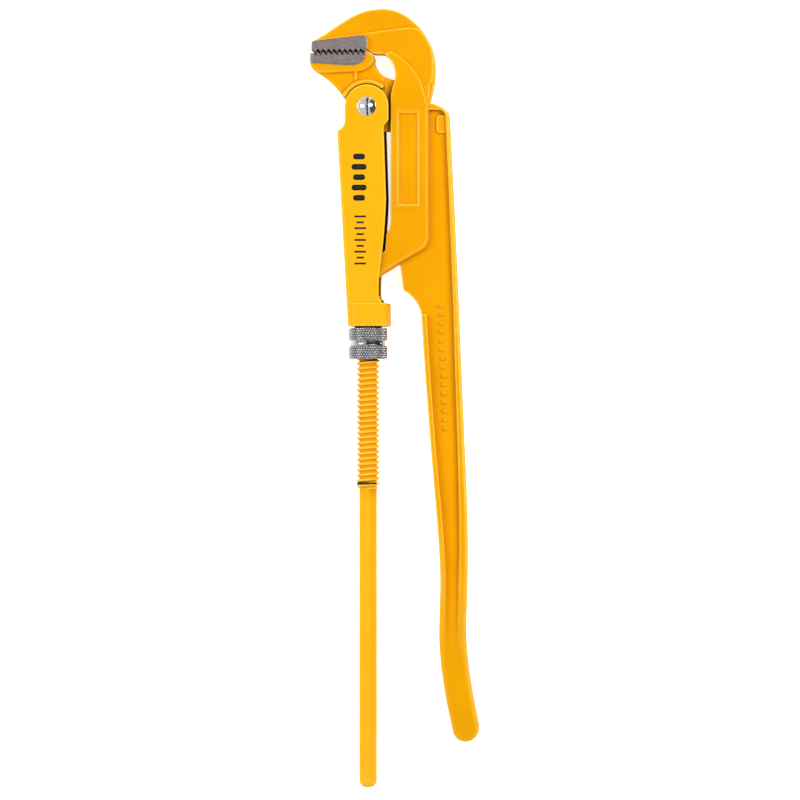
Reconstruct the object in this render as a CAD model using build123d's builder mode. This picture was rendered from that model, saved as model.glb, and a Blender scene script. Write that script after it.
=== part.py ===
from build123d import *
import math
import os

os.makedirs("parts", exist_ok=True)

# Swedish-pattern pipe wrench with 90 degree jaws, 2 inch size, millimetres.
# The tool lies flat on its back: length along Y with the jaws at +Y, jaw mouth
# open to -X, thickness along Z. Outlines are drawn about the jaw rivet, which
# sits on the axis of the threaded rod, in planes parallel to the mid-plane.

# Place of the jaw rivet and of the mid-plane in the tool's own frame.
RIVET_X = -18.996
RIVET_Y = 203.785
MID_Z = 13.6

# Half thicknesses about the mid-plane.
WEB_HALF = 3.5
RIB_HALF = 5.5
PAD_HALF = 7.5
FLANGE_HALF = 8.5
CHEEK_HALF = 9.0
JAW_BODY_HALF = 10.0
JAW_FACE_HALF = 11.0
SLOT_HALF = 4.0
TONGUE_HALF = 3.8
NECK_HALF = 6.0
HUB_HALF = 9.1
RING_HALF = 12.0
SHEET = 3.0
HOUSING_INNER_HALF = 9.3
HOUSING_HALF = HOUSING_INNER_HALF + SHEET
BEND_RADIUS = 2.0
COLLAR_HALF = 13.2

# Pivots.
ROD_PIVOT_Y = -112.6
ROD_PIN_RADIUS = 4.0
RIVET_RADIUS = 5.0
RUNNING_FIT = 0.06
LIGHT_FIT = 0.03
LUG_RADIUS = 9.5
HUB_RADIUS = 9.4
EAR_RADIUS = 15.3
RING_INNER = 15.7
RING_OUTER = 19.0

# Threaded rod and nut.
THREAD_PITCH = 3.73
THREAD_ROOT = 6.2
HANDLE_RADIUS = 6.1
THREAD_CREST = 8.1
THREAD_TURNS = 37
THREAD_BOTTOM_Y = -267.3
THREAD_CLEARANCE = 0.25
ROD_END_Y = -476.1
EYE_RADIUS = 8.5
NUT_RADIUS = 13.6
NUT_TOP_Y = -154.6
NUT_BOTTOM_Y = -176.3
NUT_GROOVE_RADIUS = 12.2
NUT_GROOVE_WIDTH = 3.5
NUT_GROOVE_Y = -165.3
NUT_NECK_RADIUS = 9.6
NUT_COLLAR_RADIUS = 11.1

# Housing collar that keeps the nut captive, from its lower face upwards.
COLLAR_BOTTOM_Y = -153.4
COLLAR_TOP_Y = -138.5
COLLAR_BORE = 11.3
BORE_TOP_Y = -145.0
RING_GROOVE_TOP_Y = -150.5
RING_GROOVE_WIDTH = 1.5
RING_GROOVE_RADIUS = 11.9
ROD_HOLE_RADIUS = 8.7

# Jaw teeth: saw teeth that lean towards the throat.
TOOTH_COUNT = 10
TOOTH_PITCH = 3.79
TOOTH_RISE = 2.7
TOOTH_LEAN = 1.05
TOOTH_START_X = -35.7
TOOTH_ROOT_Y = 37.0
BITE_GAP = 0.9


def flat(height=0.0):
    """Plane parallel to the mid-plane, centred on the jaw rivet."""
    return Plane(origin=(RIVET_X, RIVET_Y, MID_Z + height))


def across(y):
    """Plane square to the rod's axis at a distance y along it, facing +Y."""
    return Plane(origin=(RIVET_X, RIVET_Y + y, MID_Z), x_dir=(1, 0, 0), z_dir=(0, 1, 0))


def bite_line(shift):
    """The meeting line of the teeth, from the throat out to the nose."""
    points = []
    for k in range(TOOTH_COUNT):
        root_x = TOOTH_START_X + k * TOOTH_PITCH
        points.append((root_x, TOOTH_ROOT_Y + shift))
        points.append((root_x + TOOTH_LEAN, TOOTH_ROOT_Y + TOOTH_RISE + shift))
    points.reverse()
    return points


# ---------------------------------------------------------------- main arm
# Recess of the handle's I-beam section on one face. Its floor is level down
# to RAMP_Y and then climbs until the recess runs out above the grip end.
RAMP_Y = -330.0
RAMP_LENGTH = 70.0
RAMP_ANGLE = math.atan((FLANGE_HALF - WEB_HALF) / RAMP_LENGTH)
CUT_DEPTH = 12.0

with BuildPart() as handle_recess:
    with BuildSketch(flat(WEB_HALF)) as long_recess:
        with BuildLine():
            Polyline((41.8, -145), (5, -145), (5, -60), (38, -60), (38, -2.5), (50, -2.7))
            ThreePointArc((50, -2.7), (53.6, -4.2), (54.9, -8))
            Spline((54.9, -8), (58.1, -82.5), (60.5, -145.5), (62.6, -216), (64.4, -300), (63.7, -330))
            Line((63.7, -330), (55.6, -330))
            Spline((55.6, -330), (53.8, -300), (49.7, -255.4), (45.6, -205), (41.8, -145))
        make_face()
    extrude(amount=CUT_DEPTH)
    ramp_plane = Plane(
        origin=(RIVET_X, RIVET_Y + RAMP_Y, MID_Z + WEB_HALF),
        x_dir=(1, 0, 0),
        z_dir=(0, math.sin(RAMP_ANGLE), math.cos(RAMP_ANGLE)),
    )
    with BuildSketch(ramp_plane) as run_out:
        with BuildLine():
            Line((55.6, 0), (63.7, 0))
            Spline((63.7, 0), (62.9, -30), (63.6, -55), (65.2, -68))
            Line((65.2, -68), (58.8, -68))
            Spline((58.8, -68), (56.0, -48), (55.4, -30), (55.6, 0))
        make_face()
    extrude(amount=CUT_DEPTH)

# Cheeks that guide the lower jaw, with the two lugs of the rod pivot. Their
# border slopes on the ridge, the right side and the foot.
with BuildPart() as cheek_plates:
    with BuildSketch(flat()) as cheeks:
        with BuildLine():
            Spline((16.5, 6), (17.7, 12.5), (19.6, 20), (18.6, 28.6), (12, 36.5))
            Line((12, 36.5), (17.6, 39.0))
            Spline((17.6, 39.0), (27, 32.8), (33.5, 26), (37.9, 18.8), (41.2, 9.2), (43.3, 0))
            Line((43.3, 0), (43.3, -92.2))
            ThreePointArc((43.3, -92.2), (41.4, -97.6), (37, -101.4))
            Polyline((37, -101.4), (22.6, -109.6), (4.7, -120.86))
            ThreePointArc((4.7, -120.86), (-LUG_RADIUS, ROD_PIVOT_Y), (6.7, -105.9))
            Polyline((6.7, -105.9), (12.7, -100.5), (13.4, -89.3), (15.5, -85.8), (16.4, -81.5), (16.5, 6))
        make_face()
    extrude(amount=CHEEK_HALF, both=True)
    border = [
        edge
        for edge in cheek_plates.edges()
        if abs(abs(edge.center().Z - MID_Z) - CHEEK_HALF) < 0.01 and edge.center().X - RIVET_X > 22
    ]
    chamfer(border, length=1.4)

with BuildPart() as main_arm:
    # Handle blank from the shoulder to the rounded grip end.
    with BuildSketch(flat()) as handle_blank:
        with BuildLine():
            Spline((43, 2.2), (47.2, 1.5), (51, -0.1), (54.8, -2.5), (57, -7))
            Spline(
                (57, -7), (60.8, -82.5), (63.6, -145.5), (66.4, -216), (69.6, -300),
                (69.2, -345), (68.8, -372), (71.9, -401), (77.9, -433),
            )
            ThreePointArc((77.9, -433), (68.9, -443.6), (59.4, -434))
            Spline(
                (59.4, -434), (53, -401), (50.4, -375), (51.1, -335), (49.7, -300),
                (46, -255.4), (42, -205), (38.2, -149),
            )
            ThreePointArc((38.2, -149), (34, -136.5), (25, -128.2))
            Polyline((25, -128.2), (22.6, -110), (22.6, -95), (34, -90), (34, 0), (43, 2.2))
        make_face()
    extrude(amount=FLANGE_HALF, both=True)
    add(handle_recess.part, mode=Mode.SUBTRACT)
    mirror(handle_recess.part, about=flat(), mode=Mode.SUBTRACT)

    # Small raised pad on the web under the shoulder, once on each face.
    with BuildSketch(flat()) as shoulder_pad:
        with Locations((52.4, -12.4)):
            RectangleRounded(8.4, 12.6, 2.5)
    extrude(amount=WEB_HALF + 2.2, both=True)

    # Arched spine rib over the hook.
    with BuildSketch(flat()) as spine_rib:
        with BuildLine():
            Spline(
                (-36.4, 47.2), (-17.6, 59.3), (-4.6, 66), (8.5, 68.5), (18, 67.6),
                (27.6, 63.2), (38.4, 52.9), (46, 37.5), (47.4, 26), (43.2, 2),
            )
            Polyline((43.2, 2), (30, 10), (14, 42), (-36, 42), (-36.4, 47.2))
        make_face()
    extrude(amount=RIB_HALF, both=True)

    # Hook pad, thicker than the rib, ending at the ridge under the spine.
    with BuildSketch(flat()) as hook_pad:
        with BuildLine():
            Polyline((-36, 42), (-36.6, 47.2), (-4.3, 51), (9, 52.9), (27, 55))
            Spline(
                (27, 55), (36.3, 53.6), (43.4, 44), (46.5, 31), (45.2, 16), (42.9, 4),
                tangents=((1, 0.05), (-0.1, -1)),
            )
            Polyline((42.9, 4), (43, -4), (30, -4), (24, 10), (19.6, 20))
            Spline((19.6, 20), (18.6, 28.6), (12, 36.5))
            Polyline((12, 36.5), (3.6, 36.85), (-0.4, 40.1), (-3, 42), (-36, 42))
        make_face()
    extrude(amount=PAD_HALF, both=True)

    # Upper jaw with its row of teeth; the sides are ground flat.
    with BuildSketch(flat()) as upper_jaw:
        with BuildLine():
            Polyline((-38.9, 39.0), (-38.9, 44.8), (-37.6, 46.1), (-3.9, 49.6))
            ThreePointArc((-3.9, 49.6), (-0.4, 48.2), (0.7, 44.9))
            Polyline((0.7, 44.9), (0.7, 39.2), *bite_line(BITE_GAP / 2), (-38.9, 39.0))
        make_face()
    extrude(amount=JAW_FACE_HALF, both=True)

    add(cheek_plates.part)

    # Long panel on each cheek: a low lip round a recess.
    with BuildSketch(flat()) as panel_lip:
        with Locations((28.5, -36.4)):
            Rectangle(15.8, 68)
    extrude(amount=CHEEK_HALF + 0.5, both=True)
    for side in (1, -1):
        with BuildSketch(flat(side * (CHEEK_HALF + 0.5))) as panel_recess:
            with Locations((28.9, -36.6)):
                Rectangle(12.2, 63.6)
        extrude(amount=-side * 1.3, mode=Mode.SUBTRACT)

    # Slot between the cheeks for the tongue of the lower jaw and the rod's eye.
    with BuildSketch(flat()) as guide_slot:
        with BuildLine():
            Polyline(
                (-15, 24), (30, 24), (33, 21), (33, -86), (27, -97), (15, -103),
                (13.5, -104), (13.5, -126), (-15, -126), close=True,
            )
        make_face()
    extrude(amount=SLOT_HALF, both=True, mode=Mode.SUBTRACT)

    # Bore of the rod's pivot pin.
    with BuildSketch(flat()) as pin_bore:
        with Locations((0, ROD_PIVOT_Y)):
            Circle(ROD_PIN_RADIUS + LIGHT_FIT)
    extrude(amount=CHEEK_HALF, both=True, mode=Mode.SUBTRACT)

main_arm.part.label = "main_arm"
export_step(main_arm.part, "parts/main_arm.step")

# --------------------------------------------------------------- lower jaw
RING_START = 48
RING_END = 156

with BuildPart() as lower_jaw:
    # Body under the teeth, from the nose to the throat.
    with BuildSketch(flat()) as jaw_body:
        with BuildLine():
            Polyline((3.6, 36.0), *bite_line(-BITE_GAP / 2), (-40.0, 37.3), (-39.9, 32.1))
            Spline((-39.9, 32.1), (-38.2, 26), (-34.9, 23.9))
            Polyline((-34.9, 23.9), (-28, 23.6), (-8, 24.4))
            Spline((-8, 24.4), (0.5, 26.6), (4.3, 31), (3.6, 36.0))
        make_face()
    extrude(amount=JAW_BODY_HALF, both=True)

    # Ground side faces of the teeth.
    with BuildSketch(flat()) as ground_face:
        with BuildLine():
            Polyline((-38.3, 37.6), (-38.3, 30.2), (-15.4, 28.3), (-10.4, 28.1))
            Spline((-10.4, 28.1), (-2.8, 31.2), (-0.4, 37.6))
            Polyline((-0.4, 37.6), *bite_line(-BITE_GAP / 2), (-38.3, 37.6))
        make_face()
    extrude(amount=JAW_FACE_HALF, both=True)

    # Neck between the body and the rivet, with a small upright rib.
    with BuildSketch(flat()) as neck:
        with BuildLine():
            Spline((-34.9, 23.9), (-28, 18.9), (-22.1, 13.2), (-17.3, 7.2), (-14.6, 2.4))
            Polyline((-14.6, 2.4), (-10, -5), (8, -5), (11.8, 4), (11.8, 20.2), (13.8, 20.3))
            Spline((13.8, 20.3), (8.3, 24.3), (5.0, 30), (3.6, 36.0))
            Polyline((3.6, 36.0), (-2, 30), (-34, 30), (-34.9, 23.9))
        make_face()
    extrude(amount=NECK_HALF, both=True)
    with BuildSketch(flat()) as neck_rib:
        with Locations((-7.9, 21.5)):
            Rectangle(2.2, 8)
    extrude(amount=JAW_BODY_HALF - 1, both=True)

    # Raised ring that follows the ear of the housing.
    with BuildSketch(flat()) as ear_ring:
        with BuildLine():
            CenterArc((0, 0), RING_OUTER, RING_START, RING_END - RING_START)
            CenterArc((0, 0), RING_INNER, RING_START, RING_END - RING_START)
            for angle in (math.radians(RING_START), math.radians(RING_END)):
                Line(
                    (RING_INNER * math.cos(angle), RING_INNER * math.sin(angle)),
                    (RING_OUTER * math.cos(angle), RING_OUTER * math.sin(angle)),
                )
        make_face()
    extrude(amount=RING_HALF, both=True)

    # Tongue that slides between the cheeks.
    with BuildSketch(flat()) as tongue:
        with BuildLine():
            Polyline(
                (-6, 6), (-2, 22), (13.8, 20.3), (19, 18.6), (25, 17.2), (25, -14.4),
                (22, -17.4), (9, -17.4), (-6, -6), close=True,
            )
        make_face()
    extrude(amount=TONGUE_HALF, both=True)

    # Hub and rivet bore.
    with BuildSketch(flat()) as hub:
        Circle(HUB_RADIUS)
    extrude(amount=HUB_HALF, both=True)
    with BuildSketch(flat()) as hub_bore:
        Circle(RIVET_RADIUS + RUNNING_FIT)
    extrude(amount=HUB_HALF, both=True, mode=Mode.SUBTRACT)

lower_jaw.part.label = "lower_jaw"
export_step(lower_jaw.part, "parts/lower_jaw.step")

# ----------------------------------------------------------- slide housing
with BuildPart() as slide_housing:
    # Folded blank: ears at the top, tapering channel, collar at the foot.
    with BuildSketch(flat()) as blank:
        with BuildLine():
            ThreePointArc((-EAR_RADIUS, 0), (0, EAR_RADIUS), (EAR_RADIUS, 0))
            Polyline((EAR_RADIUS, 0), (EAR_RADIUS, -9.7), (11.9, -13.9), (13.6, -65))
            Spline((13.6, -65), (13.1, -76), (11, -100.7), (9.4, -112))
            Polyline((9.4, -112), (8.5, -119.3), (8.3, -133.6), (10.4, -135.4), (10.4, COLLAR_BOTTOM_Y))
            Polyline((10.4, COLLAR_BOTTOM_Y), (-13.2, COLLAR_BOTTOM_Y), (-20.7, -16.9))
            Spline((-20.7, -16.9), (-18.6, -16.0), (-16.4, -13.7), (-EAR_RADIUS, -10))
            Line((-EAR_RADIUS, -10), (-EAR_RADIUS, 0))
        make_face()
    extrude(amount=HOUSING_HALF, both=True)
    bend_edges = slide_housing.edges().filter_by(
        lambda e: abs(abs(e.center().Z - MID_Z) - HOUSING_HALF) < 0.01
        and e.center().X - RIVET_X < -16
        and e.length > 100
    )
    fillet(bend_edges, radius=BEND_RADIUS)

    # Closed collar, rounded along its length.
    with BuildSketch(across(COLLAR_BOTTOM_Y)) as collar:
        with Locations(((15.4 - 13.2) / 2, 0)):
            RectangleRounded(15.4 + 13.2, 2 * COLLAR_HALF, 5.5)
    extrude(amount=16.2)

    # Inside of the channel, open to the right and between the ears.
    with BuildSketch(flat()) as channel:
        with BuildLine():
            Polyline(
                (-30, 20), (30, 20), (30, COLLAR_TOP_Y), (-11.0, COLLAR_TOP_Y),
                (-17.6, -19), (-30, -19), close=True,
            )
        make_face()
    extrude(amount=HOUSING_INNER_HALF, both=True, mode=Mode.SUBTRACT)

    # Stepped bore for the rod, the nut's collar and the retaining ring.
    with BuildSketch(across(COLLAR_BOTTOM_Y)) as rod_hole:
        Circle(ROD_HOLE_RADIUS)
    extrude(amount=20, mode=Mode.SUBTRACT)
    with BuildSketch(across(COLLAR_BOTTOM_Y)) as nut_bore:
        Circle(COLLAR_BORE)
    extrude(amount=BORE_TOP_Y - COLLAR_BOTTOM_Y, mode=Mode.SUBTRACT)
    with BuildSketch(across(RING_GROOVE_TOP_Y)) as ring_groove:
        Circle(RING_GROOVE_RADIUS)
    extrude(amount=-RING_GROOVE_WIDTH, mode=Mode.SUBTRACT)

    # Rivet bore through both ears.
    with BuildSketch(flat()) as ear_bore:
        Circle(RIVET_RADIUS + LIGHT_FIT)
    extrude(amount=HOUSING_HALF, both=True, mode=Mode.SUBTRACT)

slide_housing.part.label = "slide_housing"
export_step(slide_housing.part, "parts/slide_housing.step")

# --------------------------------------------------------------- jaw rivet
RIVET_HEAD_RADIUS = 6.7
FRONT_HEAD_HEIGHT = 3.2
BACK_HEAD_HEIGHT = MID_Z - HOUSING_HALF

with BuildPart() as jaw_rivet:
    rivet_plane = Plane(origin=flat().origin, x_dir=(1, 0, 0), z_dir=(0, -1, 0))
    with BuildSketch(rivet_plane) as half_rivet:
        with BuildLine():
            front = HOUSING_HALF + FRONT_HEAD_HEIGHT
            back = -HOUSING_HALF - BACK_HEAD_HEIGHT
            Polyline((0, back), (0, front))
            ThreePointArc((0, front), (4.6, HOUSING_HALF + 1.9), (RIVET_HEAD_RADIUS, HOUSING_HALF + 0.02))
            Polyline(
                (RIVET_HEAD_RADIUS, HOUSING_HALF + 0.02), (RIVET_RADIUS, HOUSING_HALF + 0.02),
                (RIVET_RADIUS, -HOUSING_HALF - 0.02), (RIVET_HEAD_RADIUS, -HOUSING_HALF - 0.02),
            )
            ThreePointArc(
                (RIVET_HEAD_RADIUS, -HOUSING_HALF - 0.02), (5.6, back + 0.35), (4.0, back)
            )
            Line((4.0, back), (0, back))
        make_face()
    revolve(axis=Axis((RIVET_X, RIVET_Y, MID_Z), (0, 0, 1)))

jaw_rivet.part.label = "jaw_rivet"
export_step(jaw_rivet.part, "parts/jaw_rivet.step")

# ----------------------------------------------------------- rod pivot pin
with BuildPart() as rod_pivot_pin:
    with BuildSketch(flat()) as pin:
        with Locations((0, ROD_PIVOT_Y)):
            Circle(ROD_PIN_RADIUS)
    extrude(amount=CHEEK_HALF - 0.1, both=True)
    chamfer(rod_pivot_pin.edges().filter_by(GeomType.CIRCLE), length=0.5)

rod_pivot_pin.part.label = "rod_pivot_pin"
export_step(rod_pivot_pin.part, "parts/rod_pivot_pin.step")

# ------------------------------------------------------------ threaded rod
THREAD_LENGTH = THREAD_TURNS * THREAD_PITCH
THREAD_TOP_Y = THREAD_BOTTOM_Y + THREAD_LENGTH
ROD_NECK_TOP_Y = -123.9
RIDGE_FACETS = 8

with BuildPart() as threaded_rod:
    # Knuckle ridges at the thread's pitch, as closed rings with facetted flanks.
    with BuildSketch(flat()) as half_thread:
        middle = (THREAD_CREST + THREAD_ROOT) / 2
        depth = (THREAD_CREST - THREAD_ROOT) / 2
        outline = [(0, THREAD_TOP_Y), (0, THREAD_BOTTOM_Y)]
        for step in range(THREAD_TURNS * RIDGE_FACETS + 1):
            turn = step / RIDGE_FACETS
            swell = math.sin(math.pi / 2 * math.cos(2 * math.pi * turn))
            outline.append((middle - depth * swell, THREAD_BOTTOM_Y + turn * THREAD_PITCH))
        with BuildLine():
            Polyline(*outline, close=True)
        make_face()
    revolve(axis=Axis(flat().origin, (0, 1, 0)))

    # Plain handle below the thread, with a rounded end.
    with BuildSketch(across(ROD_END_Y)) as plain_handle:
        Circle(HANDLE_RADIUS)
    extrude(amount=THREAD_BOTTOM_Y - ROD_END_Y)
    fillet(threaded_rod.edges().sort_by(Axis.Y)[0], radius=4.5)

    # Round neck above the thread, flattened into the eye of the pivot.
    with BuildSketch(across(THREAD_TOP_Y)) as neck:
        Circle(HANDLE_RADIUS)
    extrude(amount=ROD_NECK_TOP_Y - THREAD_TOP_Y)
    chamfer(threaded_rod.edges().sort_by(Axis.Y)[-1], length=1.5)
    with BuildSketch(flat()) as eye:
        with Locations((0, ROD_PIVOT_Y)):
            Circle(EYE_RADIUS)
        with Locations((0, (ROD_PIVOT_Y + THREAD_TOP_Y + 2) / 2)):
            Rectangle(2 * HANDLE_RADIUS, ROD_PIVOT_Y - THREAD_TOP_Y - 2)
    extrude(amount=TONGUE_HALF, both=True)
    with BuildSketch(flat()) as eye_bore:
        with Locations((0, ROD_PIVOT_Y)):
            Circle(ROD_PIN_RADIUS + RUNNING_FIT)
    extrude(amount=TONGUE_HALF, both=True, mode=Mode.SUBTRACT)

threaded_rod.part.label = "threaded_rod"
export_step(threaded_rod.part, "parts/threaded_rod.step")

# ----------------------------------------------------------- adjusting nut
NUT_COLLAR_TOP_Y = -146.7
NUT_COLLAR_BOTTOM_Y = -150.4
CLIP_HOLE_RADIUS = 1.4
WINDOW_ANGLE = math.radians(50)
WINDOW_WIDTH = 4.2

with BuildPart() as adjusting_nut:
    with BuildSketch(flat()) as half_nut:
        with BuildLine():
            groove_top = NUT_GROOVE_Y + NUT_GROOVE_WIDTH / 2
            groove_bottom = NUT_GROOVE_Y - NUT_GROOVE_WIDTH / 2
            Polyline(
                (0, NUT_COLLAR_TOP_Y), (NUT_COLLAR_RADIUS, NUT_COLLAR_TOP_Y),
                (NUT_COLLAR_RADIUS, NUT_COLLAR_BOTTOM_Y), (NUT_NECK_RADIUS, NUT_COLLAR_BOTTOM_Y),
                (NUT_NECK_RADIUS, NUT_TOP_Y), (NUT_RADIUS - 1.6, NUT_TOP_Y), (NUT_RADIUS, NUT_TOP_Y - 1),
                (NUT_RADIUS, groove_top), (NUT_GROOVE_RADIUS, groove_top),
                (NUT_GROOVE_RADIUS, groove_bottom), (NUT_RADIUS, groove_bottom),
                (NUT_RADIUS, NUT_BOTTOM_Y + 1), (NUT_RADIUS - 1, NUT_BOTTOM_Y), (0, NUT_BOTTOM_Y),
                close=True,
            )
        make_face()
    revolve(axis=Axis(flat().origin, (0, 1, 0)))

    # Running bore, clear of the rod's crests.
    with BuildSketch(across(NUT_BOTTOM_Y)) as nut_bore_circle:
        Circle(THREAD_CREST + THREAD_CLEARANCE)
    extrude(amount=NUT_COLLAR_TOP_Y - NUT_BOTTOM_Y, mode=Mode.SUBTRACT)

    # In the groove: a hole for the bent end of the clip, and a window that
    # shows the rod's thread.
    with BuildSketch(flat()) as clip_hole:
        with Locations((0, NUT_GROOVE_Y)):
            Circle(CLIP_HOLE_RADIUS)
    extrude(amount=NUT_RADIUS, mode=Mode.SUBTRACT)
    window_plane = Plane(
        origin=(RIVET_X, RIVET_Y + NUT_GROOVE_Y, MID_Z),
        x_dir=(math.cos(WINDOW_ANGLE), 0, -math.sin(WINDOW_ANGLE)),
        z_dir=(math.sin(WINDOW_ANGLE), 0, math.cos(WINDOW_ANGLE)),
    )
    with BuildSketch(window_plane) as window:
        Rectangle(WINDOW_WIDTH, NUT_GROOVE_WIDTH - 0.3)
    extrude(amount=NUT_RADIUS, mode=Mode.SUBTRACT)

adjusting_nut.part.label = "adjusting_nut"
export_step(adjusting_nut.part, "parts/adjusting_nut.step")

# ----------------------------------------------------------------- nut clip
# Short spring wire in the groove of the nut; its ends are bent in, one through
# the hole and one through the window, so that it stays put.
CLIP_WIRE_RADIUS = 0.6
CLIP_RING_RADIUS = NUT_GROOVE_RADIUS + CLIP_WIRE_RADIUS + 0.1
CLIP_BEND_RADIUS = 1.2
CLIP_TIP_RADIUS = 9.0
CLIP_SWEEP = 34
CLIP_FAR_LEG = 2.0

with BuildPart() as nut_clip:
    lean = math.asin(CLIP_BEND_RADIUS / (CLIP_RING_RADIUS - CLIP_BEND_RADIUS))
    bend_start = (CLIP_RING_RADIUS - CLIP_BEND_RADIUS) * math.cos(lean)
    with BuildLine(across(NUT_GROOVE_Y)) as clip_path:
        tip = Line((0, -CLIP_TIP_RADIUS), (0, -bend_start))
        bend = JernArc(tip @ 1, (0, -1), CLIP_BEND_RADIUS, 90 + math.degrees(lean))
        hoop = JernArc(bend @ 1, (math.cos(lean), math.sin(lean)), CLIP_RING_RADIUS, CLIP_SWEEP)
        far_bend = JernArc(hoop @ 1, hoop % 1, CLIP_BEND_RADIUS, 90)
        Line(far_bend @ 1, far_bend @ 1 + CLIP_FAR_LEG * (far_bend % 1))
    with BuildSketch(flat(CLIP_TIP_RADIUS)) as clip_wire:
        with Locations((0, NUT_GROOVE_Y)):
            Circle(CLIP_WIRE_RADIUS)
    sweep(path=clip_path.line)

nut_clip.part.label = "nut_clip"
export_step(nut_clip.part, "parts/nut_clip.step")

# ---------------------------------------------------------------- stop ring
# Open ring of spring wire seated in a low root of the thread; it stops the nut.
STOP_WIRE_RADIUS = 0.85
STOP_RING_RADIUS = THREAD_ROOT + 1.12
STOP_SWEEP = 320
STOP_ROOT = 1

with BuildPart() as stop_ring:
    with BuildSketch(flat()) as stop_wire:
        with Locations((STOP_RING_RADIUS, THREAD_BOTTOM_Y + STOP_ROOT * THREAD_PITCH)):
            Circle(STOP_WIRE_RADIUS)
    revolve(axis=Axis(flat().origin, (0, 1, 0)), revolution_arc=STOP_SWEEP)

stop_ring.part.label = "stop_ring"
export_step(stop_ring.part, "parts/stop_ring.step")

# ------------------------------------------------------------ thrust washer
WASHER_THICKNESS = 1.5

with BuildPart() as thrust_washer:
    with BuildSketch(across(BORE_TOP_Y - 0.1)) as washer:
        Circle(NUT_COLLAR_RADIUS)
        Circle(ROD_HOLE_RADIUS, mode=Mode.SUBTRACT)
    extrude(amount=-WASHER_THICKNESS)

thrust_washer.part.label = "thrust_washer"
export_step(thrust_washer.part, "parts/thrust_washer.step")

# ------------------------------------------------------- nut retaining ring
RETAINER_THICKNESS = 1.3
RETAINER_GAP = 5.0

with BuildPart() as nut_retaining_ring:
    with BuildSketch(across(RING_GROOVE_TOP_Y - 0.1)) as retainer:
        Circle(RING_GROOVE_RADIUS - 0.05)
        Circle(NUT_NECK_RADIUS + 0.3, mode=Mode.SUBTRACT)
        with Locations((0, NUT_NECK_RADIUS + 1)):
            Rectangle(RETAINER_GAP, 6, mode=Mode.SUBTRACT)
    extrude(amount=-RETAINER_THICKNESS)

nut_retaining_ring.part.label = "nut_retaining_ring"
export_step(nut_retaining_ring.part, "parts/nut_retaining_ring.step")
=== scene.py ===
import math

import bmesh
import bpy
import numpy as np
from mathutils import Matrix, Vector


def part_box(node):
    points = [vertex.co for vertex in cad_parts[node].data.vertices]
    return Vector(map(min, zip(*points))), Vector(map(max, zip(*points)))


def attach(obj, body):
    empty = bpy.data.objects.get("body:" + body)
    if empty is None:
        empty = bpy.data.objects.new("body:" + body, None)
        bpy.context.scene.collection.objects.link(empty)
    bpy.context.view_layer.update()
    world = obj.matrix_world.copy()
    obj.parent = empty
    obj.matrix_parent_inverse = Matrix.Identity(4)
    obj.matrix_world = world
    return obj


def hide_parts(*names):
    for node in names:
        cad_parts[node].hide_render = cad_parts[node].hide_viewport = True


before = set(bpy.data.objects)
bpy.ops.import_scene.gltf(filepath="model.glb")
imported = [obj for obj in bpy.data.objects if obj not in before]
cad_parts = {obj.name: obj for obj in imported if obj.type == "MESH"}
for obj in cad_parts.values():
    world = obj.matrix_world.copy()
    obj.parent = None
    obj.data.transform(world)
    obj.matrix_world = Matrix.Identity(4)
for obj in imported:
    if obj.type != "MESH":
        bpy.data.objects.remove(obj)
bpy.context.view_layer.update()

MM = 0.001

# ------------------------------------------------------------------ places
# The jaw rivet's centre is the origin of every local place below: x to the
# right, y up along the rod, both in millimetres; z counts from the mid-plane.
rivet_low, rivet_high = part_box("jaw_rivet")
nut_low, nut_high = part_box("adjusting_nut")
RIVET_X = (rivet_low[0] + rivet_high[0]) / 2
RIVET_Y = (rivet_low[1] + rivet_high[1]) / 2
MID_Z = (nut_low[2] + nut_high[2]) / 2


def place(x, y, z=0.0):
    """A point given in millimetres about the jaw rivet, in the frame's metres."""
    return Vector((RIVET_X + x * MM, RIVET_Y + y * MM, MID_Z + z * MM))


# -------------------------------------------------------------- mesh tools
def mesh_object(name, points, faces):
    """A smooth-shaded object from points in metres and index tuples."""
    mesh = bpy.data.meshes.new(name)
    mesh.from_pydata([tuple(p) for p in points], [], faces)
    mesh.validate()
    piece = bpy.data.objects.new(name, mesh)
    bpy.context.scene.collection.objects.link(piece)
    outward = bmesh.new()
    outward.from_mesh(mesh)
    bmesh.ops.recalc_face_normals(outward, faces=outward.faces)
    outward.to_mesh(mesh)
    outward.free()
    mesh.shade_smooth()
    return piece


def ring_faces(rows, columns):
    """Quads between rows of a closed tube, each row holding the same columns."""
    faces = []
    for r in range(rows - 1):
        for c in range(columns):
            d = (c + 1) % columns
            a = r * columns
            b = a + columns
            faces.append((a + c, a + d, b + d, b + c))
    return faces


def tube_about_rod(name, rows, columns, radius_at):
    """A closed solid of revolution round the rod, with its radius in
    millimetres given by radius_at(y, angle); both ends are capped."""
    angles = np.arange(columns) * 2 * math.pi / columns
    points = []
    for y in rows:
        for angle in angles:
            r = radius_at(y, angle)
            points.append(place(r * math.cos(angle), y, -r * math.sin(angle)))
    faces = ring_faces(len(rows), columns)
    faces.append(tuple(range(columns)))
    last = (len(rows) - 1) * columns
    faces.append(tuple(range(last + columns - 1, last - 1, -1)))
    return mesh_object(name, points, faces)


def lathe(name, outline, columns, centre, along):
    """Turns an outline of (radius, height) in millimetres about an axis."""
    axis = Vector(along).normalized()
    side = axis.orthogonal().normalized()
    other = axis.cross(side)
    points = []
    for radius, height in outline:
        for c in range(columns):
            angle = 2 * math.pi * c / columns
            out = side * math.cos(angle) + other * math.sin(angle)
            points.append(centre + (out * radius + axis * height) * MM)
    faces = ring_faces(len(outline), columns)
    faces.append(tuple(range(columns)))
    last = (len(outline) - 1) * columns
    faces.append(tuple(range(last + columns - 1, last - 1, -1)))
    return mesh_object(name, points, faces)


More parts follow.
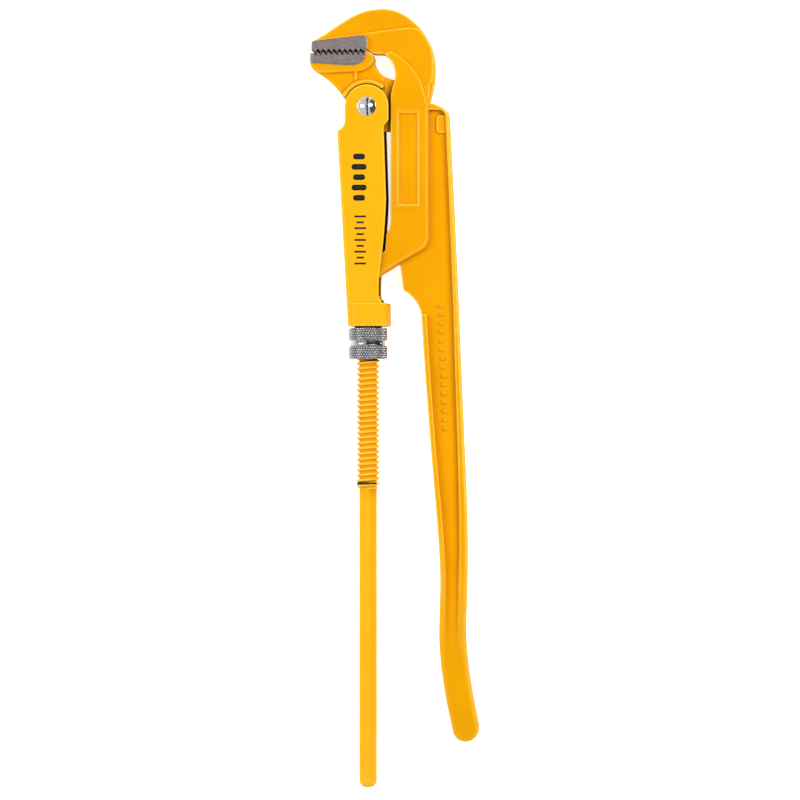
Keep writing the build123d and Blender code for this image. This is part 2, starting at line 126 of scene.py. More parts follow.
def read_points(mesh):
    """The mesh's vertices as an array of rows."""
    flat = np.empty(len(mesh.vertices) * 3)
    mesh.vertices.foreach_get("co", flat)
    return flat.reshape(-1, 3)


def relax(piece, passes, weight):
    """Draws each vertex towards the mean of its neighbours, which rounds the
    edges and fills the corners as a forging's are; weight is per vertex."""
    mesh = piece.data
    points = read_points(mesh)
    count = len(points)
    ends = np.empty(len(mesh.edges) * 2, dtype=np.int64)
    mesh.edges.foreach_get("vertices", ends)
    a, b = ends.reshape(-1, 2).T
    valence = np.bincount(a, minlength=count) + np.bincount(b, minlength=count)
    pull = np.broadcast_to(np.asarray(weight, dtype=float), (count,))[:, None]
    for _ in range(passes):
        total = [
            np.bincount(a, points[b, k], count) + np.bincount(b, points[a, k], count)
            for k in range(3)
        ]
        mean = np.stack(total, axis=1) / valence[:, None]
        points = points + pull * (mean - points)
    mesh.vertices.foreach_set("co", points.ravel())
    mesh.update()


def forged_copy(name, node, voxel):
    """An even-meshed copy of a CAD node, in millimetre voxels."""
    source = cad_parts[node]
    copy = bpy.data.objects.new(name, source.data.copy())
    bpy.context.scene.collection.objects.link(copy)
    welded = bmesh.new()
    welded.from_mesh(copy.data)
    bmesh.ops.remove_doubles(welded, verts=welded.verts, dist=0.002 * MM)
    welded.to_mesh(copy.data)
    welded.free()
    remesh = copy.modifiers.new("even", "REMESH")
    remesh.mode = "VOXEL"
    remesh.voxel_size = voxel * MM
    view = copy.evaluated_get(bpy.context.evaluated_depsgraph_get())
    even = bpy.data.meshes.new_from_object(view)
    copy.modifiers.clear()
    copy.data = even
    copy.data.materials.clear()
    copy.data.shade_smooth()
    return copy


def local_millimetres(piece):
    """Vertices about the jaw rivet in millimetres, z from the mid-plane."""
    return (read_points(piece.data) - np.array([RIVET_X, RIVET_Y, MID_Z])) / MM


# --------------------------------------------------------------- materials
def node_tree(name):
    """A new material with its shader, and helpers to add and join nodes."""
    material = bpy.data.materials.new(name)
    material.use_nodes = True
    nodes = material.node_tree.nodes
    links = material.node_tree.links
    shader = nodes["Principled BSDF"]

    def add(kind, **values):
        made = nodes.new(kind)
        for key, value in values.items():
            setattr(made, key, value)
        return made

    return material, shader, add, links.new


def mapped(add, join, scale=(1, 1, 1), turn=(0, 0, 0)):
    """Object coordinates, stretched by a scale along each axis and turned."""
    where = add("ShaderNodeTexCoord")
    mapping = add("ShaderNodeMapping")
    mapping.inputs["Scale"].default_value = scale
    mapping.inputs["Rotation"].default_value = turn
    join(where.outputs["Object"], mapping.inputs["Vector"])
    return mapping.outputs["Vector"]


def noise(add, join, vector, scale, detail=2.0, roughness=0.5):
    """Fractal noise from 0 to 1."""
    made = add("ShaderNodeTexNoise")
    made.inputs["Scale"].default_value = scale
    made.inputs["Detail"].default_value = detail
    made.inputs["Roughness"].default_value = roughness
    join(vector, made.inputs["Vector"])
    return made.outputs["Fac"]


def remap(add, join, value, low, high, to_low, to_high, smooth=False):
    """Maps a value's range to another, held at both ends."""
    made = add("ShaderNodeMapRange")
    made.interpolation_type = "SMOOTHSTEP" if smooth else "LINEAR"
    made.inputs["From Min"].default_value = low
    made.inputs["From Max"].default_value = high
    made.inputs["To Min"].default_value = to_low
    made.inputs["To Max"].default_value = to_high
    join(value, made.inputs["Value"])
    return made.outputs["Result"]


def blend_colour(add, join, factor, first, second):
    """Mixes two colours or colour sockets by a factor socket."""
    made = add("ShaderNodeMix")
    made.data_type = "RGBA"
    join(factor, made.inputs["Factor"])
    sockets = [s for s in made.inputs if s.type == "RGBA"]
    for socket, value in zip(sockets, (first, second)):
        if isinstance(value, tuple):
            socket.default_value = value
        else:
            join(value, socket)
    return [s for s in made.outputs if s.type == "RGBA"][0]


def blend_value(add, join, factor, first, second):
    """Mixes two numbers or number sockets by a factor socket."""
    made = add("ShaderNodeMix")
    made.data_type = "FLOAT"
    sockets = [s for s in made.inputs if s.type == "VALUE"]
    join(factor, sockets[0])
    for socket, value in zip(sockets[1:], (first, second)):
        if isinstance(value, (int, float)):
            socket.default_value = value
        else:
            join(value, socket)
    return [s for s in made.outputs if s.type == "VALUE"][0]


def calculate(add, join, operation, first, second=0.0):
    """One arithmetic step on sockets or numbers."""
    made = add("ShaderNodeMath")
    made.operation = operation
    for socket, value in zip(made.inputs, (first, second)):
        if isinstance(value, (int, float)):
            socket.default_value = value
        else:
            join(value, socket)
    return made.outputs["Value"]


def distance(add, join, value, middle):
    """How far a socket's value lies from a number, either way."""
    return calculate(add, join, "ABSOLUTE", calculate(add, join, "SUBTRACT", value, middle))


def within(add, join, value, middle, inner, outer, smooth=False):
    """1 where the value is within inner of the middle, 0 from outer on."""
    return remap(add, join, distance(add, join, value, middle), inner, outer, 1, 0, smooth)


FORGED_TONES = ((0.83, 0.365, 0.001, 1.0), (0.78, 0.332, 0.001, 1.0))
FOLDED_TONES = ((0.93, 0.448, 0.008, 1.0), (0.90, 0.420, 0.005, 1.0))
# Painted highlight: the colour that convex edges are lightened towards.
PAINTED_EDGE_HIGHLIGHT = (1.0, 0.63, 0.06, 1.0)
# Painted shade: the colour that concave creases are darkened towards.
PAINTED_CREASE_SHADE = (0.72, 0.25, 0.001, 1.0)
# Painted shade: the colour that crevices and gaps between parts are darkened towards by ambient
# occlusion.
PAINTED_CREVICE_SHADE = (0.10, 0.028, 0.002, 1.0)
STEEL = (0.36, 0.312, 0.296, 1.0)
STEEL_DARK = (0.13, 0.106, 0.10, 1.0)
# Painted shade for the teeth's flanks where the jaws close together.
TEETH_GAP_SHADE = (0.006, 0.005, 0.005, 1)
# Painted shade for the valleys and recesses of plated metal.
PAINTED_VALLEY_SHADE = (0.02, 0.02, 0.022, 1)
PAINT_ROUGH = (0.30, 0.42)
SKIN_BUMP_STRENGTH = 0.09
SKIN_BUMP_DEPTH = 0.6 * MM


def paint_colour(add, join, tones, painted_light_mix=0.8, reach=13, shade=(0.13, 0.44)):
    """Yellow enamel: cloudy variation, painted highlights on convex edges, painted shade in creases and
    in crevices.
    """
    where = mapped(add, join)
    cloud = remap(add, join, noise(add, join, where, 28, 3), 0.35, 0.65, 0, 1)
    base = blend_colour(add, join, cloud, tones[1], tones[0])
    corner = add("ShaderNodeNewGeometry")
    # Painted highlight: convex edges, found by pointiness, are lightened; the argument sets how far.
    edge_highlight = remap(add, join, corner.outputs["Pointiness"], 0.503, 0.530, 0, painted_light_mix)
    # Painted shade: concave creases, found by pointiness, are darkened.
    crease_shade = remap(add, join, corner.outputs["Pointiness"], 0.497, 0.470, 0, 0.7)
    shaded = blend_colour(add, join, crease_shade, base, PAINTED_CREASE_SHADE)
    lit = blend_colour(add, join, edge_highlight, shaded, PAINTED_EDGE_HIGHLIGHT)
    # Painted shade: ambient occlusion darkens crevices, recesses and gaps between parts.
    hollow = add("ShaderNodeAmbientOcclusion")
    hollow.samples = 8
    hollow.inputs["Distance"].default_value = reach * MM
    occlusion_shade = remap(add, join, hollow.outputs["AO"], *shade, 0.95, 0)
    return blend_colour(add, join, occlusion_shade, lit, PAINTED_CREVICE_SHADE)


def paint_gloss(shader):
    """A weak body sheen under a thin smooth coat, as on sprayed enamel."""
    shader.inputs["Specular IOR Level"].default_value = 0.0
    shader.inputs["Coat Weight"].default_value = 0.09
    shader.inputs["Coat Roughness"].default_value = 0.12


def paint_bump(add, join, shader):
    """Orange peel of a sprayed enamel over a forged skin."""
    where = mapped(add, join)
    peel = noise(add, join, where, 900, 2)
    skin = noise(add, join, where, 160, 3)
    height = calculate(add, join, "ADD", calculate(add, join, "MULTIPLY", peel, 0.35), skin)
    bump = add("ShaderNodeBump")
    bump.inputs["Strength"].default_value = SKIN_BUMP_STRENGTH
    bump.inputs["Distance"].default_value = SKIN_BUMP_DEPTH
    join(height, bump.inputs["Height"])
    join(bump.outputs["Normal"], shader.inputs["Normal"])


def paint_material(name, tones, painted_light_mix=0.8, reach=13, shade=(0.13, 0.44)):
    """Sprayed enamel with its own gloss and orange peel."""
    material, shader, add, join = node_tree(name)
    join(paint_colour(add, join, tones, painted_light_mix, reach, shade), shader.inputs["Base Color"])
    where = mapped(add, join)
    gloss = remap(add, join, noise(add, join, where, 70, 3), 0.3, 0.7, *PAINT_ROUGH)
    join(gloss, shader.inputs["Roughness"])
    paint_gloss(shader)
    paint_bump(add, join, shader)
    return material


TOOTH_START = -35.7
TOOTH_PITCH = 3.79
TOOTH_LEAN = 1.05
TOOTH_RISE = 2.7
TOOTH_ROOT = 37.0
# Bare steel starts this far from the mid-plane, and only above this height.
GROUND_OFF = (10.62 * MM, 10.80 * MM)
GROUND_HEIGHT = (22.5, 22.7)
NOSE_X = (-37.6, -37.2)
NOSE_REACH = (7.5 * MM, 8.5 * MM)
BITE = place(-19.4, 38.4)
BITE_REACH_X = (18.2 * MM, 18.6 * MM)
BITE_REACH_Y = (2.4 * MM, 2.8 * MM)
SAW_DROP = 0.30 * MM
SAW_REACH = (0.90 * MM, 1.15 * MM)
STEEL_METALLIC = 0.72


def saw_height(add, join, x):
    """Height of the teeth's saw line above its root, from the place along it."""
    lean = TOOTH_LEAN / TOOTH_PITCH
    along = calculate(add, join, "SUBTRACT", x, place(TOOTH_START, 0).x)
    part = calculate(add, join, "FRACT", calculate(add, join, "DIVIDE", along, TOOTH_PITCH * MM))
    rising = calculate(add, join, "DIVIDE", part, lean)
    left = calculate(add, join, "SUBTRACT", 1.0, part)
    falling = calculate(add, join, "DIVIDE", left, 1 - lean)
    share = calculate(add, join, "MINIMUM", rising, falling)
    return calculate(add, join, "MULTIPLY", share, TOOTH_RISE * MM)


def ground_jaw_material(name):
    """The yellow enamel, ground off to bare steel on the jaws' side faces and
    on the teeth. Places are in the part's own coordinates."""
    material, shader, add, join = node_tree(name)
    where = add("ShaderNodeTexCoord").outputs["Object"]
    axes = add("ShaderNodeSeparateXYZ")
    join(where, axes.inputs["Vector"])
    x, y, z = (axes.outputs[k] for k in "XYZ")
    raised = remap(add, join, distance(add, join, z, MID_Z), *GROUND_OFF, 0, 1, smooth=True)
    ground_from, ground_full = (place(0, height).y for height in GROUND_HEIGHT)
    face = calculate(add, join, "MULTIPLY", raised, remap(add, join, y, ground_from, ground_full, 0, 1))
    nose_full, nose_end = (place(along, 0).x for along in NOSE_X)
    nose = calculate(
        add, join, "MULTIPLY",
        remap(add, join, x, nose_full, nose_end, 1, 0),
        within(add, join, y, BITE.y, *NOSE_REACH),
    )
    ground = calculate(add, join, "MAXIMUM", face, nose)
    teeth = calculate(
        add, join, "MULTIPLY",
        within(add, join, x, BITE.x, *BITE_REACH_X, smooth=True),
        within(add, join, y, BITE.y, *BITE_REACH_Y, smooth=True),
    )
    bare = calculate(add, join, "MAXIMUM", ground, teeth)

    fine = mapped(add, join, (160, 2600, 160), (0, 0, math.radians(-7)))
    lines = noise(add, join, fine, 1.0, 4, 0.7)
    coarse = mapped(add, join, (900, 1500, 300), (0, 0, math.radians(52)))
    cross = noise(add, join, coarse, 1.0, 3, 0.6)
    scratch = calculate(
        add, join, "ADD",
        calculate(add, join, "MULTIPLY", lines, 0.6),
        calculate(add, join, "MULTIPLY", cross, 0.4),
    )
    grain = remap(add, join, scratch, 0.35, 0.65, 0, 1)
    steel = blend_colour(add, join, grain, STEEL_DARK, STEEL)

    # Painted shade in the gullets and on the flanks along the saw line of the teeth, where the jaws
    # close on each other; the steel there is not metallic.
    over_root = calculate(add, join, "SUBTRACT", y, place(0, TOOTH_ROOT).y)
    above = calculate(add, join, "SUBTRACT", over_root, saw_height(add, join, x))
    near = within(add, join, above, -SAW_DROP, *SAW_REACH, smooth=True)
    gap_shade = calculate(add, join, "MULTIPLY", teeth, near)
    painted_light_mix = blend_colour(add, join, gap_shade, steel, TEETH_GAP_SHADE)
    enamel = paint_colour(add, join, FORGED_TONES)
    join(blend_colour(add, join, bare, enamel, painted_light_mix), shader.inputs["Base Color"])
    shine = calculate(add, join, "MULTIPLY", bare, calculate(add, join, "SUBTRACT", 1.0, gap_shade))
    join(calculate(add, join, "MULTIPLY", shine, STEEL_METALLIC), shader.inputs["Metallic"])
    gloss = remap(add, join, noise(add, join, where, 70, 3), 0.3, 0.7, *PAINT_ROUGH)
    join(blend_value(add, join, bare, gloss, remap(add, join, scratch, 0.3, 0.7, 0.36, 0.52)),
         shader.inputs["Roughness"])
    paint_gloss(shader)

    peel = noise(add, join, where, 160, 3)
    height = blend_value(add, join, bare, peel, calculate(add, join, "MULTIPLY", scratch, 0.5))
    bump = add("ShaderNodeBump")
    bump.inputs["Strength"].default_value = SKIN_BUMP_STRENGTH
    bump.inputs["Distance"].default_value = SKIN_BUMP_DEPTH
    join(height, bump.inputs["Height"])
    join(bump.outputs["Normal"], shader.inputs["Normal"])
    return material


def metal_material(name, dark, light, rough_low, rough_high, grain, bump_strength, valley_shade=0.0):
    """Bare or plated metal with fine streaks, with painted shade in its valleys."""
    material, shader, add, join = node_tree(name)
    where = mapped(add, join, grain)
    streak = noise(add, join, where, 1.0, 4, 0.6)
    mix = remap(add, join, streak, 0.35, 0.65, 0, 1)
    tone = blend_colour(add, join, mix, dark, light)
    # Painted shade: the mesh's hollow attribute darkens the colour in valleys and recesses.
    sunk = add("ShaderNodeAttribute", attribute_name="hollow").outputs["Fac"]
    low = remap(add, join, sunk, 0.25, 0.95, 0, valley_shade)
    join(blend_colour(add, join, low, tone, PAINTED_VALLEY_SHADE), shader.inputs["Base Color"])
    join(remap(add, join, streak, 0.3, 0.7, rough_high, rough_low), shader.inputs["Roughness"])
    shader.inputs["Metallic"].default_value = 1.0
    bump = add("ShaderNodeBump")
    bump.inputs["Strength"].default_value = bump_strength
    bump.inputs["Distance"].default_value = 0.0003
    join(streak, bump.inputs["Height"])
    join(bump.outputs["Normal"], shader.inputs["Normal"])
    return material


def black_material(name, rough):
    """Black ink or black-oxide wire with a slight mottle."""
    material, shader, add, join = node_tree(name)
    where = mapped(add, join)
    mottle = noise(add, join, where, 600, 3)
    join(blend_colour(add, join, mottle, (0.006, 0.006, 0.007, 1), (0.018, 0.017, 0.017, 1)),
         shader.inputs["Base Color"])
    join(remap(add, join, mottle, 0.3, 0.7, rough - 0.06, rough + 0.06), shader.inputs["Roughness"])
    shader.inputs["Specular IOR Level"].default_value = 0.25
    return material


raised_paint = paint_material("yellow_enamel_raised", FORGED_TONES, 0.12)
folded_paint = paint_material("yellow_enamel_folded", FOLDED_TONES)
# The housing's painted occlusion shade reaches further and is stronger, to darken the deep gaps along
# its channel.
housing_paint = paint_material(
    "yellow_enamel_housing", FOLDED_TONES, painted_light_mix=0.8, reach=26, shade=(0.34, 0.66)
)
jaw_paint = ground_jaw_material("yellow_enamel_and_ground_steel")
zinc = metal_material(
    "zinc_plate", (0.44, 0.44, 0.46, 1), (0.64, 0.64, 0.66, 1),
    rough_low=0.22, rough_high=0.36, grain=(700, 700, 700), bump_strength=0.06, valley_shade=0.85,
)
chrome = metal_material(
    "polished_chrome", (0.80, 0.80, 0.82, 1), (0.92, 0.92, 0.93, 1),
    rough_low=0.03, rough_high=0.07, grain=(250, 250, 250), bump_strength=0.01,
)
bare_steel = metal_material(
    "bare_steel", (0.25, 0.24, 0.23, 1), (0.42, 0.40, 0.39, 1),
    rough_low=0.3, rough_high=0.45, grain=(900, 900, 900), bump_strength=0.08,
)
black_wire = black_material("black_oxide", 0.34)
black_ink = black_material("black_ink", 0.5)


def dress(piece, material, body, slot, *nodes):
    """Gives a piece its material and body, and hides the nodes it stands for; the slot argument is not
    used.
    """
    piece.data.materials.clear()
    piece.data.materials.append(material)
    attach(piece, body)
    if nodes:
        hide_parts(*nodes)
    return piece


# ---------------------------------------------------------------- forgings
ARM_VOXEL = 0.55
JAW_VOXEL = 0.42
HOUSING_VOXEL = 0.45
GRIP_TOP = -285
GRIP_FADE = 75
TEETH_PULL = 0.12
FORGED_PULL = 0.6
JAW_CLOSE = 0.25


def make_arm():
    """Edges are soft all over, sharper at the teeth and softest at the grip."""
    arm = forged_copy("arm_forging", "main_arm", ARM_VOXEL)
    spots = local_millimetres(arm)
    grip = np.clip((GRIP_TOP - spots[:, 1]) / GRIP_FADE, 0, 1)
    jaw = (spots[:, 0] < 1.5) & (spots[:, 1] > 36.5)
    weight = np.where(jaw, TEETH_PULL, FORGED_PULL)
    relax(arm, 4, weight)
    relax(arm, 46, FORGED_PULL * grip)
    return dress(arm, jaw_paint, "arm", "yellow_paint", "main_arm")


def make_jaw():
    """The neck is soft and the bite crisp; its top closes on the upper teeth."""
    jaw = forged_copy("jaw_forging", "lower_jaw", JAW_VOXEL)
    spots = local_millimetres(jaw)
    soft = np.clip((31.0 - spots[:, 1]) / 3.0, 0.0, 1.0)
    relax(jaw, 38, 0.02 + 0.56 * soft)
    points = read_points(jaw.data)
    points[:, 1] += JAW_CLOSE * MM * np.clip((spots[:, 1] - 33.0) / 3.0, 0.0, 1.0)
    jaw.data.vertices.foreach_set("co", points.ravel())
    jaw.data.update()
    return dress(jaw, jaw_paint, "jaw", "yellow_paint", "lower_jaw")


def make_housing():
    """Folded plate, so only its bends and cut edges are eased."""
    housing = forged_copy("housing_shell", "slide_housing", HOUSING_VOXEL)
    relax(housing, 3, FORGED_PULL)
    return dress(housing, housing_paint, "housing", "yellow_paint", "slide_housing")


# ------------------------------------------------------------ rod and nut
THREAD_PITCH = 3.73
THREAD_ROOT = 6.2
THREAD_CREST = 8.1
THREAD_TURNS = 37
THREAD_BOTTOM = -267.3
THREAD_TOP = THREAD_BOTTOM + THREAD_TURNS * THREAD_PITCH
HANDLE_RADIUS = 6.1
ROD_END = (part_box("threaded_rod")[0][1] - RIVET_Y) / MM
END_ROUND = 4.5


def thread_radius(y, angle):
    """Single-start right-hand knuckle thread that fades out at its foot."""
    turn = angle - 2 * math.pi * (y - THREAD_BOTTOM) / THREAD_PITCH
    wave = math.sin(math.pi / 2 * math.cos(turn))
    radius = (THREAD_CREST + THREAD_ROOT) / 2 + (THREAD_CREST - THREAD_ROOT) / 2 * wave
    fade = min(1.0, max(0.0, (y - THREAD_BOTTOM) / 1.2))
    fade = min(fade, max(0.0, (THREAD_TOP - y) / 1.2))
    return HANDLE_RADIUS + (radius - HANDLE_RADIUS) * fade


def rod_radius(y, angle):
    """Radius of the rod anywhere below its neck."""
    if y < ROD_END + END_ROUND:
        drop = ROD_END + END_ROUND - y
        return HANDLE_RADIUS - END_ROUND + math.sqrt(max(0.0, END_ROUND**2 - drop**2))
    if THREAD_BOTTOM < y < THREAD_TOP:
        return thread_radius(y, angle)
    return HANDLE_RADIUS


def make_rod():
    """The round bar with its thread, and the eye cut from the CAD node."""
    neck_cut = THREAD_TOP + 2.5
    quarter = np.linspace(1, 0, 9) * math.pi / 2
    rounding = [ROD_END + END_ROUND * (1 - math.sin(t)) for t in quarter]
    plain = list(np.linspace(ROD_END + END_ROUND, THREAD_BOTTOM, 42))[1:]
    steps = THREAD_TURNS * 16
    thread = list(np.linspace(THREAD_BOTTOM, THREAD_TOP, steps + 1))[1:]
    rows = rounding + plain + thread + [neck_cut]
    rod = tube_about_rod("rod_bar", rows, 72, rod_radius)
    eye = bpy.data.objects.new("rod_eye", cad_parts["threaded_rod"].data.copy())
    bpy.context.scene.collection.objects.link(eye)
    cut = bmesh.new()
    cut.from_mesh(eye.data)
    everything = cut.verts[:] + cut.edges[:] + cut.faces[:]
    bmesh.ops.bisect_plane(
        cut, geom=everything, plane_co=place(0, neck_cut - 0.4), plane_no=(0, -1, 0), clear_outer=True
    )
    bmesh.ops.holes_fill(cut, edges=[e for e in cut.edges if e.is_boundary], sides=0)
    cut.to_mesh(eye.data)
    cut.free()
    dress(rod, folded_paint, "rod", "yellow_paint", "threaded_rod")
    dress(eye, folded_paint, "rod", "yellow_paint")
    return rod


NUT_RADIUS = (nut_high[0] - nut_low[0]) / 2 / MM
NUT_TOP = -154.6
NUT_BOTTOM = -176.3
GROOVE_Y = -165.3
GROOVE_HALF = 1.75
GROOVE_RADIUS = 12.2
GROOVE_SHADE = 0.5
KNURLS = 44
KNURL_HEIGHT = 3.3
KNURL_DEPTH = 0.75
WINDOW_ANGLE = math.radians(50)
WINDOW_HALF = math.asin(2.1 / GROOVE_RADIUS)


def wave(t):
    """Triangle wave from 0 to 1 with a period of 1."""
    return 1 - abs(2 * (t - math.floor(t)) - 1)


def knurl(y, angle):
    """Depth below the crest of a diamond knurl, 0 to 1."""
    around = angle * KNURLS / (2 * math.pi)
    along = y / KNURL_HEIGHT
    ridge = min(wave(around + along), wave(around - along))
    return 1 - min(1.0, ridge * 1.25)


def knurled_band(low, high):
    """Radius function of one knurled band with bevelled rims."""
    def radius_at(y, angle):
        rim = min(y - low, high - y)
        bevel = max(0.0, 0.9 - rim)
        fade = min(1.0, rim / 0.5)
        return NUT_RADIUS - bevel * 0.8 - KNURL_DEPTH * knurl(y, angle) * fade
    return radius_at


def make_nut():
    """Two knurled bands about a smooth groove, with the collar above them."""
    columns = KNURLS * 12
    spacing = 0.24
    parts, bands = [], []
    for low, high in ((NUT_BOTTOM, GROOVE_Y - GROOVE_HALF), (GROOVE_Y + GROOVE_HALF, NUT_TOP)):
        rows = list(np.linspace(low, high, int((high - low) / spacing) + 1))
        bands.append(knurled_band(low, high))
        parts.append((rows, bands[-1]))
    angles = np.arange(columns) * 2 * math.pi / columns
    bore = THREAD_CREST + 0.25
    neck, collar = 9.6, 11.1
    neck_top, collar_top = -150.4, -146.7

    rows = []
    rows.append((NUT_BOTTOM, lambda y, a: bore))
    rows.append((NUT_BOTTOM, lambda y, a: bore + 1.2))
    rows += [(y, parts[0][1]) for y in parts[0][0]]
    rows.append((GROOVE_Y - GROOVE_HALF, lambda y, a: GROOVE_RADIUS + 0.15))
    rows.append((GROOVE_Y - GROOVE_HALF + 0.15, lambda y, a: GROOVE_RADIUS))
    first_groove = len(rows) - 1
    rows.append((GROOVE_Y + GROOVE_HALF - 0.15, lambda y, a: GROOVE_RADIUS))
    rows.append((GROOVE_Y + GROOVE_HALF, lambda y, a: GROOVE_RADIUS + 0.15))
    rows += [(y, parts[1][1]) for y in parts[1][0]]
    for y, r in ((NUT_TOP, neck + 0.3), (NUT_TOP + 0.3, neck), (neck_top, neck), (neck_top, collar),
                 (collar_top, collar), (collar_top, bore)):
        rows.append((y, lambda _, a, r=r: r))

    points = []
    for y, radius_at in rows:
        for angle in angles:
            r = radius_at(y, angle)
            points.append(place(r * math.cos(angle), y, -r * math.sin(angle)))
    faces = ring_faces(len(rows), columns)
    last = (len(rows) - 1) * columns
    for c in range(columns):
        d = (c + 1) % columns
        faces.append((last + c, last + d, d, c))

    # The window in the groove: its quads are left out and walls lead inwards.
    middle = math.pi / 2 - WINDOW_ANGLE
    circle = 2 * math.pi

    def off_window(c):
        """Angle between a column's middle and the window's, from 0 to pi."""
        return abs((-(c + 0.5) * circle / columns - middle + math.pi) % circle - math.pi)

    open_columns = [c for c in range(columns) if off_window(c) < WINDOW_HALF]
    shut = {first_groove * columns + c for c in open_columns}
    faces = [f for f in faces if not (f[0] in shut and f[3] == f[0] + columns)]
    inner = {}
    # Painted shade: the knurl's valleys, the groove (less strongly) and the window's inner walls are
    # marked hollow, which darkens the zinc there.
    hollows = [
        knurl(y, angle) if radius_at in bands else GROOVE_SHADE * (abs(y - GROOVE_Y) <= GROOVE_HALF)
        for y, radius_at in rows for angle in angles
    ]

    def inward(index):
        if index not in inner:
            outer = points[index]
            spot = place(0, 0)
            flat = Vector((outer.x - spot.x, 0, outer.z - spot.z)).normalized()
            inner[index] = len(points)
            points.append(Vector((spot.x, outer.y, spot.z)) + flat * bore * MM)
        return inner[index]

    low_row, high_row = first_groove * columns, (first_groove + 1) * columns
    for c in open_columns:
        d = (c + 1) % columns
        for row in (low_row, high_row):
            faces.append((row + c, row + d, inward(row + d), inward(row + c)))
    for c in (open_columns[0], (open_columns[-1] + 1) % columns):
        faces.append((low_row + c, high_row + c, inward(high_row + c), inward(low_row + c)))
    nut = mesh_object("nut_knurled", points, faces)
    hollows += [1.0] * (len(nut.data.vertices) - len(hollows))
    nut.data.attributes.new("hollow", "FLOAT", "POINT").data.foreach_set("value", hollows)
    return dress(nut, zinc, "nut", "zinc", "adjusting_nut")


def make_rivet():
    """Domed head in front, low head behind, plain shank between."""
    front = (rivet_high[2] - MID_Z) / MM
    back = (rivet_low[2] - MID_Z) / MM
    head, seat, shank, rim = 6.7, 12.32, 4.7, 1.2
    dome = front - seat
    sphere = (head**2 + dome**2) / (2 * dome)
    outline = [(0.02, back)]
    for t in np.linspace(0, 1.5, 7):
        outline.append((head - rim + rim * math.sin(t), back + rim * (1 - math.cos(t))))
    outline += [(head, -seat), (shank, -seat), (shank, seat)]
    outline += [(head - 0.3, seat), (head, seat + 0.25)]
    start = math.asin(head / sphere)
    for t in np.linspace(start, 0.004, 26)[1:]:
        outline.append((sphere * math.sin(t), front - sphere * (1 - math.cos(t))))
    rivet = lathe("rivet_polished", outline, 96, place(0, 0), (0, 0, 1))
    return dress(rivet, chrome, "housing", "chrome", "jaw_rivet")


# ------------------------------------------------------------ printed marks
def flat_mark(name, x, y, width, height, corner, z, tilt, thick=0.04):
    """A thin printed patch with rounded corners, lying on a flat face."""
    points = []
    outline = []
    for cx, cy, start in ((1, 1, 0), (-1, 1, 90), (-1, -1, 180), (1, -1, 270)):
        for step in range(7):
            t = math.radians(start + step * 15)
            outline.append((cx * (width / 2 - corner) + corner * math.cos(t),
                            cy * (height / 2 - corner) + corner * math.sin(t)))
    turn = math.radians(tilt)
    for level in (z, z + thick):
        for px, py in outline:
            points.append(place(x + px * math.cos(turn) - py * math.sin(turn),
                                y + px * math.sin(turn) + py * math.cos(turn), level))
    count = len(outline)
    faces = ring_faces(2, count)
    faces.append(tuple(range(count)))
    faces.append(tuple(range(2 * count - 1, count - 1, -1)))
    return mesh_object(name, points, faces)


def join_pieces(pieces):
    """Joins several pieces into the first."""
    bpy.ops.object.select_all(action="DESELECT")
    for piece in pieces:
        piece.select_set(True)
    bpy.context.view_layer.objects.active = pieces[0]
    bpy.ops.object.join()
    return pieces[0]


def make_print():
    """Plain blocks and a rule in place of printing; they spell nothing."""
    face = 12.31
    marks = []
    for y, width in ((-35.2, 8.4), (-42.4, 10.6), (-49.6, 8.4), (-56.8, 10.6), (-64.0, 8.4)):
        marks.append(flat_mark("print_marks", -5.2, y, width, 4.0, corner=1.9, z=face, tilt=0))
    for k in range(9):
        width = 8.2 if k % 2 == 0 else 5.2
        marks.append(flat_mark("tick", -4.4, -77 - k * 4.1, width, 1.3, corner=0.5, z=face, tilt=0))
    return dress(join_pieces(marks), black_ink, "housing", "black_wire")


def make_web_dashes():
    """A row of plain raised dashes down the web of the handle."""
    marks = []
    for k in range(15):
        t = k / 14
        x, y = 50.9 + 3.4 * t, -139 - 86 * t
        marks.append(flat_mark("web_dashes", x, y, 4.2, 3.2, corner=0.8, z=3.3, tilt=-4, thick=0.6))
    return dress(join_pieces(marks), raised_paint, "arm", "yellow_paint")


make_arm()
make_jaw()
make_housing()
make_rod()
make_nut()
make_rivet()
make_print()
make_web_dashes()
for node, material in (
    ("nut_clip", black_wire), ("stop_ring", black_wire), ("nut_retaining_ring", black_wire),
    ("rod_pivot_pin", bare_steel), ("thrust_washer", bare_steel),
):
    mesh_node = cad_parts[node]
    for slot_index in range(len(mesh_node.material_slots)):
        mesh_node.material_slots[slot_index].material = material


# ------------------------------------------------------------------- stage
def make_floor():
    """A pale floor that glows a little, so it reads as plain white."""
    corners = [(-6, -6, 0), (6, -6, 0), (6, 6, 0), (-6, 6, 0)]
    floor = mesh_object("floor", corners, [(0, 1, 2, 3)])
    floor.location.z = -0.0002
    material, shader, add, join = node_tree("pale_floor")
    where = mapped(add, join)
    tone = noise(add, join, where, 3, 2)
    pale = blend_colour(add, join, tone, (0.93, 0.93, 0.93, 1), (0.96, 0.96, 0.96, 1))
    join(pale, shader.inputs["Base Color"])
    shader.inputs["Roughness"].default_value = 0.9
    shader.inputs["Specular IOR Level"].default_value = 0.1
    shader.inputs["Emission Color"].default_value = (1, 1, 1, 1)
    shader.inputs["Emission Strength"].default_value = 0.8
    floor.data.materials.append(material)


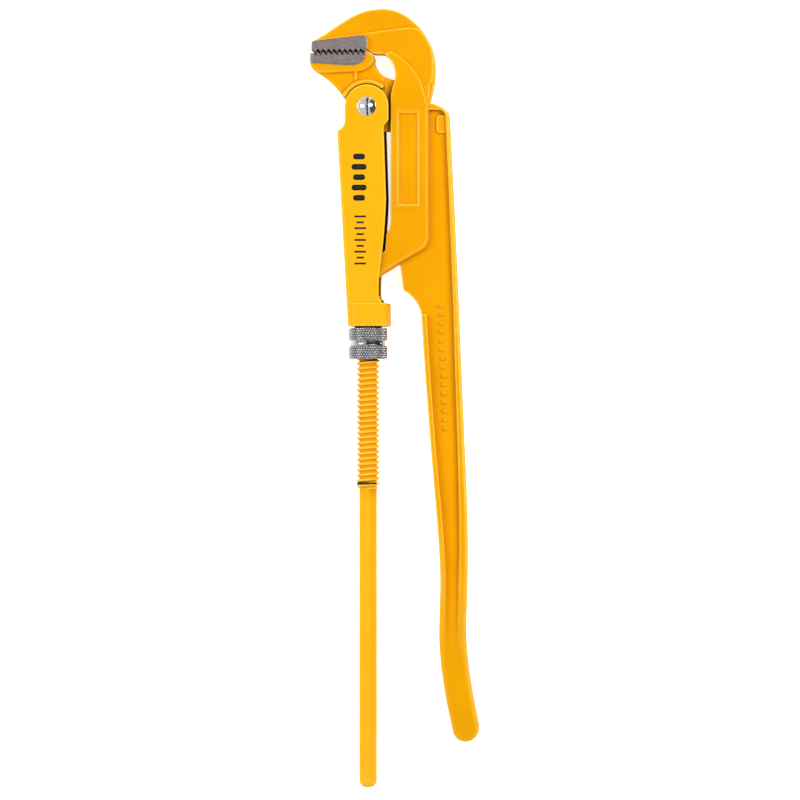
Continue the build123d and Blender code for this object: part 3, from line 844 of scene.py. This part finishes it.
def make_world():
    """White surroundings with dark flags, which bright metal needs to mirror."""
    world = bpy.data.worlds.new("studio")
    bpy.context.scene.world = world
    world.use_nodes = True
    nodes, link = world.node_tree.nodes, world.node_tree.links.new
    sky = nodes["Background"]
    where = nodes.new("ShaderNodeTexCoord")
    axes = nodes.new("ShaderNodeSeparateXYZ")
    link(where.outputs["Generated"], axes.inputs["Vector"])
    wobble = nodes.new("ShaderNodeTexNoise")
    wobble.inputs["Scale"].default_value = 4
    link(where.outputs["Generated"], wobble.inputs["Vector"])
    shift = nodes.new("ShaderNodeMath")
    shift.operation = "MULTIPLY_ADD"
    shift.inputs[1].default_value = 0.35
    link(wobble.outputs["Fac"], shift.inputs[0])
    link(axes.outputs["X"], shift.inputs[2])
    ramp = nodes.new("ShaderNodeValToRGB")
    link(shift.outputs["Value"], ramp.inputs["Fac"])
    stops = ramp.color_ramp.elements
    stops[0].position, stops[0].color = 0.10, (1, 1, 1, 1)
    stops[1].position, stops[1].color = 0.16, (0.01, 0.01, 0.01, 1)
    for position, tone in ((0.32, 0.01), (0.38, 1.0), (0.62, 1.0), (0.70, 0.15), (0.90, 0.15)):
        stop = stops.new(position)
        stop.color = (tone, tone, tone, 1)
    link(ramp.outputs["Color"], sky.inputs["Color"])
    sky.inputs["Strength"].default_value = 0.62


def area_light(name, where, aim, size, power):
    """A rectangular lamp at a place, turned to face the aim."""
    data = bpy.data.lights.new(name, "AREA")
    data.shape = "RECTANGLE"
    data.size, data.size_y = size
    data.energy = power
    light = bpy.data.objects.new(name, data)
    bpy.context.scene.collection.objects.link(light)
    light.location = where
    light.rotation_euler = (Vector(aim) - Vector(where)).to_track_quat("-Z", "Y").to_euler()


def make_lights():
    """A key lamp on the right and a weaker fill on the left."""
    area_light("key", (1.0, 0.5, 1.5), (0, 0, 0), (0.6, 1.1), 25)
    area_light("fill", (-1.1, 0.3, 1.2), (0, 0, 0), (0.6, 1.0), 8)


VIEW_TILT = math.radians(5)
VIEW_DISTANCE = 2.6
PICTURE_WIDTH = 0.560


def make_camera():
    """Looks down on the front, tilted a few degrees to the right."""
    data = bpy.data.cameras.new("camera")
    data.sensor_width = 36
    data.lens = 36 * VIEW_DISTANCE / PICTURE_WIDTH
    camera = bpy.data.objects.new("camera", data)
    bpy.context.scene.collection.objects.link(camera)
    aim = place(22.4, -205.0)
    back = Vector((math.sin(VIEW_TILT), 0, math.cos(VIEW_TILT)))
    camera.location = aim + back * VIEW_DISTANCE
    right = Vector((math.cos(VIEW_TILT), 0, -math.sin(VIEW_TILT)))
    turn = Matrix((right, (0, 1, 0), back)).transposed()
    camera.rotation_euler = turn.to_euler()
    bpy.context.scene.camera = camera


make_floor()
make_world()
make_lights()
make_camera()
bpy.context.scene.view_settings.view_transform = "Standard"
